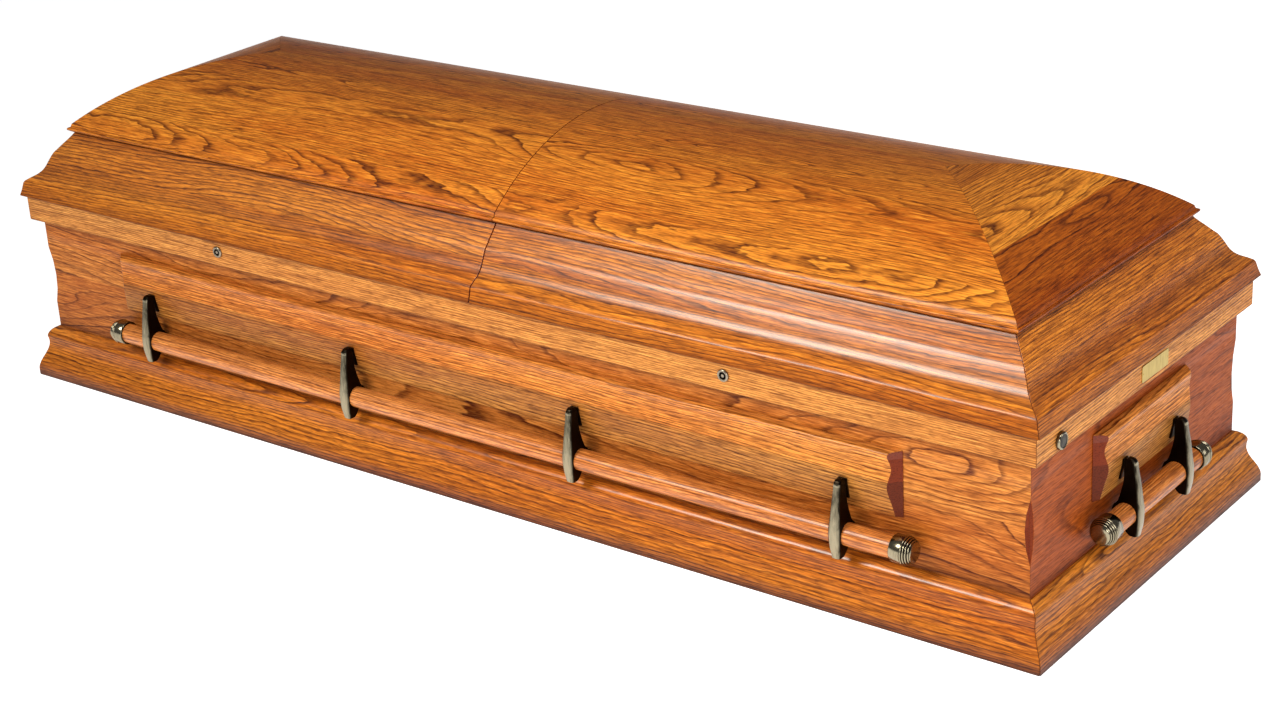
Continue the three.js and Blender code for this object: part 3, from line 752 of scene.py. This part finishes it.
# %% Crown panels
CROWN_SEAT = 466.3
CROWN_FOOT_INSET = 91.5
LIP_INSET = 83.0
LIP_TOP = 476.3
LIP_RADIUS = 2.9
LIP_MIDDLE = 473.3
CROWN_RUN = 282.5
CROWN_RISE = 107.0
CROWN_THICKNESS = 20
arch_radius = (CROWN_RUN ** 2 + CROWN_RISE ** 2) / (2 * CROWN_RISE)
arch_height = LIP_TOP + CROWN_RISE - arch_radius


def arch_line(radius, run_width, steps):
    line = []
    for step in range(steps + 1):
        from_ridge = run_width * (1 - step / steps)
        rise_here = arch_height + math.sqrt(radius ** 2 - from_ridge ** 2)
        line.append((LIP_INSET + CROWN_RUN - from_ridge, rise_here))
    return line


inner_radius = arch_radius - CROWN_THICKNESS
inner_run = min(math.sqrt(inner_radius ** 2 - (CROWN_SEAT - arch_height) ** 2), CROWN_RUN)
outer_arch = arch_line(arch_radius, CROWN_RUN, 40)
inner_arch = arch_line(inner_radius, inner_run, 24)
lip_round = []
for step in range(9):
    turn = math.radians(-50 + step * 22.5)
    lip_inset = LIP_INSET + LIP_RADIUS - LIP_RADIUS * math.cos(turn)
    lip_round.append((lip_inset, LIP_MIDDLE + LIP_RADIUS * math.sin(turn)))
crown_foot = [(inner_arch[0][0], CROWN_SEAT), (CROWN_FOOT_INSET, CROWN_SEAT)]
crown_section = [*crown_foot, *lip_round, *outer_arch[1:], *reversed(inner_arch[1:])]
for lid, lid_sides in LID_SIDES.items():
    for number, side in enumerate(lid_sides):
        piece = run(
            f"{lid}_lid_crown_{side}", crown_section, side, crown_end_oak if side == lid else lid_oak,
            board_turn=math.pi / 2,
            shift=(number * 6.1 + (3.3 if lid == "foot" else 0), number * 0.7, 0.5), **lid_ends(side, lid))
        finish_piece(piece, "coffin_box", [f"{lid}_lid_crown"], arris=0, corner=35)
print("arch radius", round(arch_radius / 1000, 4))

# %% [markdown]
# Round wooden bars, ribbed tips, the round caps on the band: all of these are turned on a lathe. A lathe
# piece is a profile of (place, radius) pairs swung round an axis, with one point where the radius is zero.

# %% Helper for turned pieces
def turned(name, profile, segments=40, wear_and_light=None):
    work = bmesh.new()
    layer = work.verts.layers.float.new("wear_and_light")
    board = work.verts.layers.float_vector.new("board")
    rings = []
    for number, (place, radius) in enumerate(profile):
        ring = []
        for step in range(segments if radius > 0 else 1):
            angle = math.tau * step / segments
            vert = work.verts.new((place, radius * math.cos(angle), radius * math.sin(angle)))
            vert[layer] = wear_and_light[number] if wear_and_light else 0.5
            vert[board] = vert.co
            ring.append(vert)
        rings.append(ring)
    skin(work, rings)
    return mesh_of(work, name)


print("lathe ready")

# %% [markdown]
# Each long side has four cast arms and each end has two. They are all alike, and so are the tips, so one
# pattern piece is modelled and a node tree sets a copy on every measured place. A place can carry its own
# turn, which lets the two tips of a bar face away from each other.

# %% Tree that sets a pattern piece on its places
set_tree, set_in, set_out = new_tree(
    "pieces_on_places", "GeometryNodeTree",
    [("Geometry", "Geometry"), ("Pattern", "Object"), ("Material", "Material")],
    [("Geometry", "Geometry")],
)
pattern_info = put(set_tree, "GeometryNodeObjectInfo", {"Object": set_in["Pattern"]})
own_turn = put(set_tree, "GeometryNodeInputNamedAttribute", {"Name": "turn"}, data_type="FLOAT")
spots = put(set_tree, "GeometryNodeMeshToPoints", {"Mesh": set_in["Geometry"]})
copies = put(set_tree, "GeometryNodeInstanceOnPoints", {
    "Points": spots.outputs[0], "Instance": pattern_info.outputs["Geometry"],
    "Rotation": vector_of(set_tree, 0.0, 0.0, own_turn.outputs["Attribute"]),
})
paint_and_end(set_tree, copies.outputs[0], set_in["Material"], set_out)


def on_wall(side, place, stand_off, height):
    reach = SIDES[side]["reach"] - WALL_INSET + stand_off
    spot = Vector((place, -reach, height))
    return Matrix.Rotation(SIDES[side]["turn"], 3, "Z") @ spot


def set_pieces(name, pattern_mesh, places, paint):
    pattern = link_object(name + "_pattern", pattern_mesh)
    holder_mesh = bpy.data.meshes.new(name)
    holder_mesh.from_pydata([tuple(spot) for spot, turn in places], [], [])
    turns = holder_mesh.attributes.new("turn", "FLOAT", "POINT")
    for number, (spot, turn) in enumerate(places):
        turns.data[number].value = turn
    piece = bake(name, holder_mesh, set_tree, {"Pattern": pattern, "Material": paint})
    bpy.data.objects.remove(pattern)
    return piece


SIDE_ARMS = [-0.732, -0.244, 0.237, 0.733]
END_ARMS = [-0.083, 0.080]
ARM_PLACES = {"front": SIDE_ARMS, "back": [-p for p in SIDE_ARMS], "foot": END_ARMS,
              "head": [-p for p in END_ARMS]}
BAR_ENDS = {"front": (-0.835, 0.860), "back": (-0.860, 0.835), "foot": (-0.175, 0.163),
            "head": (-0.163, 0.175)}
print("arms", sum(len(places) for places in ARM_PLACES.values()))

# %% [markdown]
# The bars are plain turned oak, stained like the walls. The lathe piece lies along X, so for the ends of the
# coffin it is turned in its mesh. Its grain runs along it, because the board place is kept from the lathe.

# %% Handle bars
BAR_HEIGHT = 0.1343
BAR_STAND_OFF = 0.0265
BAR_RADIUS = 0.0175
TIP_LENGTH = 0.036
TIP_SOCKET = 0.022
TIP_GAP = 0.0003


def stand_on_wall(mesh, side, place, stand_off, height):
    turn = Matrix.Rotation(SIDES[side]["turn"], 4, "Z")
    mesh.transform(Matrix.Translation(on_wall(side, place, stand_off, height)) @ turn)
    return mesh


def add_piece(name, mesh, paint):
    mesh.materials.append(paint)
    return link_object(name, mesh)


cover = TIP_LENGTH - TIP_SOCKET + TIP_GAP
for number, side in enumerate(SIDES):
    first, last = BAR_ENDS[side]
    profile = [(first + cover, 0), (first + cover, BAR_RADIUS), (last - cover, BAR_RADIUS), (last - cover, 0)]
    mesh = turned(f"{side}_bar", profile, 56)
    for spot in mesh.attributes["board"].data:
        spot.vector = spot.vector + Vector((number * 1.9, number * 0.13, 0.03))
    stand_on_wall(mesh, side, 0, BAR_STAND_OFF, BAR_HEIGHT)
    piece = add_piece(f"{side}_turned_bar", mesh, bar_oak)
    finish_piece(piece, f"{side}_handle", [f"{side}_handle_bar"], arris=0)
print("bar radius", BAR_RADIUS)

# %% [markdown]
# A cast tip closes each end of a bar. It is a short sleeve with four round ribs and a domed end, and its
# profile follows a rule: half a wave for each rib, then a quarter of an oval for the dome.

# %% Ribbed tips
TIP_RADIUS = 0.0213
TIP_EDGE = 0.0012
SLEEVE_END = -0.0180
RIB_RADII = (0.0222, 0.0212, 0.0197, 0.0178)
RIB_START = -0.0176
RIB_STEP = 0.0036
RIB_WIDTH = 0.0034
RIB_HEIGHT = 0.0017
DOME_LENGTH = 0.0031
DOME_RADIUS = 0.0156
tip_profile = [(-TIP_LENGTH, 0.0), (-TIP_LENGTH, BAR_RADIUS + 0.0004), (-TIP_LENGTH, TIP_RADIUS - TIP_EDGE),
               (-TIP_LENGTH + TIP_EDGE, TIP_RADIUS), (SLEEVE_END, TIP_RADIUS)]
tip_rub = [0.0, 0.1, 0.3, 0.8, 0.75]
for rib, rib_radius in enumerate(RIB_RADII):
    for step in range(9):
        share = step / 8
        swell = math.sin(math.pi * share)
        place = RIB_START + rib * RIB_STEP + RIB_WIDTH * share
        tip_profile.append((place, rib_radius - RIB_HEIGHT + RIB_HEIGHT * swell))
        tip_rub.append(swell ** 0.7)
for step in range(1, 11):
    angle = math.pi / 2 * step / 10
    tip_profile.append((-DOME_LENGTH + DOME_LENGTH * math.sin(angle), DOME_RADIUS * math.cos(angle)))
    tip_rub.append(0.85)
for side in SIDES:
    turn = SIDES[side]["turn"]
    first, last = [on_wall(side, place, BAR_STAND_OFF, BAR_HEIGHT) for place in BAR_ENDS[side]]
    tip_mesh = turned("tip", tip_profile, 56, wear_and_light=tip_rub)
    places = [(first, turn + math.pi), (last, turn)]
    piece = set_pieces(f"{side}_ribbed_tips", tip_mesh, places, antique_metal)
    names = [f"{side}_handle_tip_1", f"{side}_handle_tip_2"]
    finish_piece(piece, f"{side}_handle", names, arris=0, corner=50)
print("tip points", len(tip_profile))

# %% [markdown]
# An arm hangs from its plate, widens to wrap the bar, and narrows again to a blunt lower end. Its front has
# two faces that meet in a ridge, with a chamfer at each side. It is drawn as stations up its height and
# filled in smoothly between them, as a boat builder fairs a hull, so that no step shows in its long curves.

# %% Arms
WRAP = 22.5
ARM_BACK = 26.5
ARM_SPACING = 2.2
# Heights up the arm above which its ridge is painted as shade (the head cap) and as a highlight band.
HEAD_PAINTED_SHADE_ABOVE = 216.2
HEAD_PAINTED_HIGHLIGHT_ABOVE = 211.5
BELLY_HEIGHT = 124
BELLY_REACH = 60
CHAMFER = 3.4
FACET_SHARE = 0.70
FACET_DROP = 0.7


def ring_back(rise):
    return ARM_BACK - math.sqrt(WRAP ** 2 - rise ** 2)


arm_stations = [
    (98.5, 33.5, 44.2, 7.2), (99.0, 32.0, 44.9, 7.5), (104.3, 26.5, 45.8, 8.0),
    (112.3, ring_back(22), 47.5, 9.0), (120.3, ring_back(14), 48.5, 9.9), (134.3, ring_back(0), 49.0, 10.6),
    (146.3, ring_back(12), 48.5, 10.5), (152.3, ring_back(18), 47.5, 10.0), (184.5, 20.5, 43.5, 7.4),
    (204.5, 20.5, 39.8, 6.4), (213.0, 20.5, 38.6, 6.3), (217.0, 21.0, 37.4, 6.1), (220.0, 23.0, 35.2, 5.4),
    (221.6, 26.0, 32.0, 4.0), (222.0, 28.0, 30.0, 2.4),
]


def fair(stations, spacing):
    rows = []
    last = len(stations) - 1
    for number in range(last):
        before, low = stations[max(number - 1, 0)], stations[number]
        high, after = stations[number + 1], stations[min(number + 2, last)]
        span = high[0] - low[0]
        leave_share = span / (high[0] - before[0])
        arrive_share = span / (after[0] - low[0])
        count = max(1, round(span / spacing))
        for step in range(count):
            row = []
            for earlier, start, stop, later in zip(before, low, high, after):
                leave = (stop - earlier) * leave_share
                arrive = (later - start) * arrive_share
                row.append(ease(start, stop, leave, arrive, step / count))
            rows.append(row)
    rows.append(list(stations[-1]))
    return rows


# Ridge value up the arm: painted shade on the head cap, a painted highlight band just below it, and below
# that wear, brightest on the proud belly round the bar.
def ridge_wear_and_light(height):
    if height > HEAD_PAINTED_SHADE_ABOVE:
        return 0.0
    if height > HEAD_PAINTED_HIGHLIGHT_ABOVE:
        return 1.0
    return 0.5 + 0.5 * max(0, 1 - abs(height - BELLY_HEIGHT) / BELLY_REACH)


def arm_mesh():
    work = bmesh.new()
    layer = work.verts.layers.float.new("wear_and_light")
    rings = []
    for height, back, front, half in fair(arm_stations, ARM_SPACING):
        top = ridge_wear_and_light(height)
        facet = half * FACET_SHARE
        outline = [
            (-half, back, 0.05), (half, back, 0.05), (half, front - CHAMFER, 0.0),
            (facet, front - FACET_DROP, top * 0.75), (0, front, top),
            (-facet, front - FACET_DROP, top * 0.75), (-half, front - CHAMFER, 0.0),
        ]
        ring = []
        for place, stand_off, worn in outline:
            vert = work.verts.new((place / 1000, -stand_off / 1000, height / 1000))
            vert[layer] = worn
            ring.append(vert)
        rings.append(ring)
    skin(work, rings)
    return mesh_of(work, "arm")


for side in SIDES:
    arm_places = [(on_wall(side, place, 0.0, 0.0), SIDES[side]["turn"]) for place in ARM_PLACES[side]]
    piece = set_pieces(f"{side}_arms", arm_mesh(), arm_places, antique_metal)
    names = [f"{side}_handle_arm_{n + 1}" for n in range(len(arm_places))]
    finish_piece(piece, f"{side}_handle", names, arris=0.0008, corner=18)
print("arm stations", len(fair(arm_stations, ARM_SPACING)))

# %% [markdown]
# Two small ferrules in the front band take the key that seats the lids, and a round knob on the foot end
# closes a little tube for papers. All are turned, and the sockets in the middle stay dark.

# %% Ferrules and knob
BAND_FACE = 0.0177


def turned_fitting(name, profile, wear_and_light, side, place, height, paint):
    mesh = turned(name, profile, 40, wear_and_light=wear_and_light)
    mesh.transform(Matrix.Rotation(-math.pi / 2, 4, "Z"))
    stand_on_wall(mesh, side, place, BAND_FACE, height)
    piece = add_piece(name + "_turned", mesh, paint)
    finish_piece(piece, "coffin_box", [name], arris=0, corner=40)


ferrule_profile = [
    (0, 0), (0, 0.0100), (0.0016, 0.0100), (0.0026, 0.0092), (0.0030, 0.0080), (0.0028, 0.0066),
    (0.0018, 0.0056), (0.0010, 0.0050), (0.0010, 0.0030), (0.0022, 0.0026), (0.0024, 0.0),
]
ferrule_rub = [0, 0.4, 0.8, 1.0, 1.0, 0.7, 0.0, 0.0, 0.0, 0.7, 0.9]
knob_profile = [
    (0, 0), (0, 0.0135), (0.0042, 0.0135), (0.0054, 0.0128), (0.0060, 0.0116), (0.0056, 0.0104),
    (0.0050, 0.0096), (0.0052, 0.0060), (0.0053, 0.0),
]
knob_rub = [0, 0.3, 0.7, 1.0, 1.0, 0.6, 0.1, 0.2, 0.25]
for name, place in (("ferrule_head", -0.544), ("ferrule_foot", 0.526)):
    turned_fitting(name, ferrule_profile, ferrule_rub, "front", place, 0.3345, dark_socket)
turned_fitting("record_tube_knob", knob_profile, knob_rub, "foot", -0.279, 0.325, antique_metal)
print("fittings", 3)

# %% [markdown]
# A small brass plate sits on the band of the foot end. It is left bare: a thin sheet with soft corners and a
# small round pin near each end.

# %% Brass plate
PLATE_WIDTH = 0.084
PLATE_HEIGHT = 0.026
PLATE_CORNER = 0.0022
PLATE_THICKNESS = 0.0009
PIN_PLACE = 0.038
PIN_RADIUS = 0.0016


def brass_plate():
    work = bmesh.new()
    layer = work.verts.layers.float.new("wear_and_light")
    outline = []
    for x_sign, z_sign, start in ((1, 1, 0), (-1, 1, 90), (-1, -1, 180), (1, -1, 270)):
        for step in range(5):
            angle = math.radians(start + step * 22.5)
            outline.append((x_sign * (PLATE_WIDTH / 2 - PLATE_CORNER) + PLATE_CORNER * math.cos(angle),
                            z_sign * (PLATE_HEIGHT / 2 - PLATE_CORNER) + PLATE_CORNER * math.sin(angle)))
    rings = []
    for depth in (0.0, PLATE_THICKNESS):
        rings.append([work.verts.new((x, -depth, z)) for x, z in outline])
    skin(work, rings)
    for pin_x in (-PIN_PLACE, PIN_PLACE):
        made = bmesh.ops.create_uvsphere(work, u_segments=16, v_segments=8, radius=PIN_RADIUS)
        for vert in made["verts"]:
            vert.co = Vector((pin_x + vert.co.x, -PLATE_THICKNESS + vert.co.y * 0.4, vert.co.z))
    for vert in work.verts:
        vert[layer] = 0.75
    return mesh_of(work, "brass_plate")


plate_mesh = stand_on_wall(brass_plate(), "foot", 0.008, BAND_FACE, 0.330)
plate = add_piece("bare_brass_plate", plate_mesh, pale_brass)
finish_piece(plate, "coffin_box", arris=0.0002, corner=50)
print("plate", [round(v, 4) for v in plate.dimensions])

# %% [markdown]
# The walls, the bottom board and the small plates behind the arms keep their measured shapes, so each only
# takes a finish. The long walls and the end walls need the grain to run along them. The bottom board is bare
# wood, as inside a real box that has no lining.

# %% Finishes on the measured pieces
FINISHES = {
    "bottom_board": bare_oak,
    "front_wall": long_wall_oak,
    "back_wall": long_wall_oak,
    "foot_wall": end_wall_oak,
    "head_wall": end_wall_oak,
}
for name, piece in nodes.items():
    paint = antique_metal if "_lug_" in name else FINISHES.get(name)
    if paint:
        piece.data.materials.clear()
        piece.data.materials.append(paint)
print("measured pieces shown", len(FINISHES), "and", sum("_lug_" in name for name in nodes), "lugs")
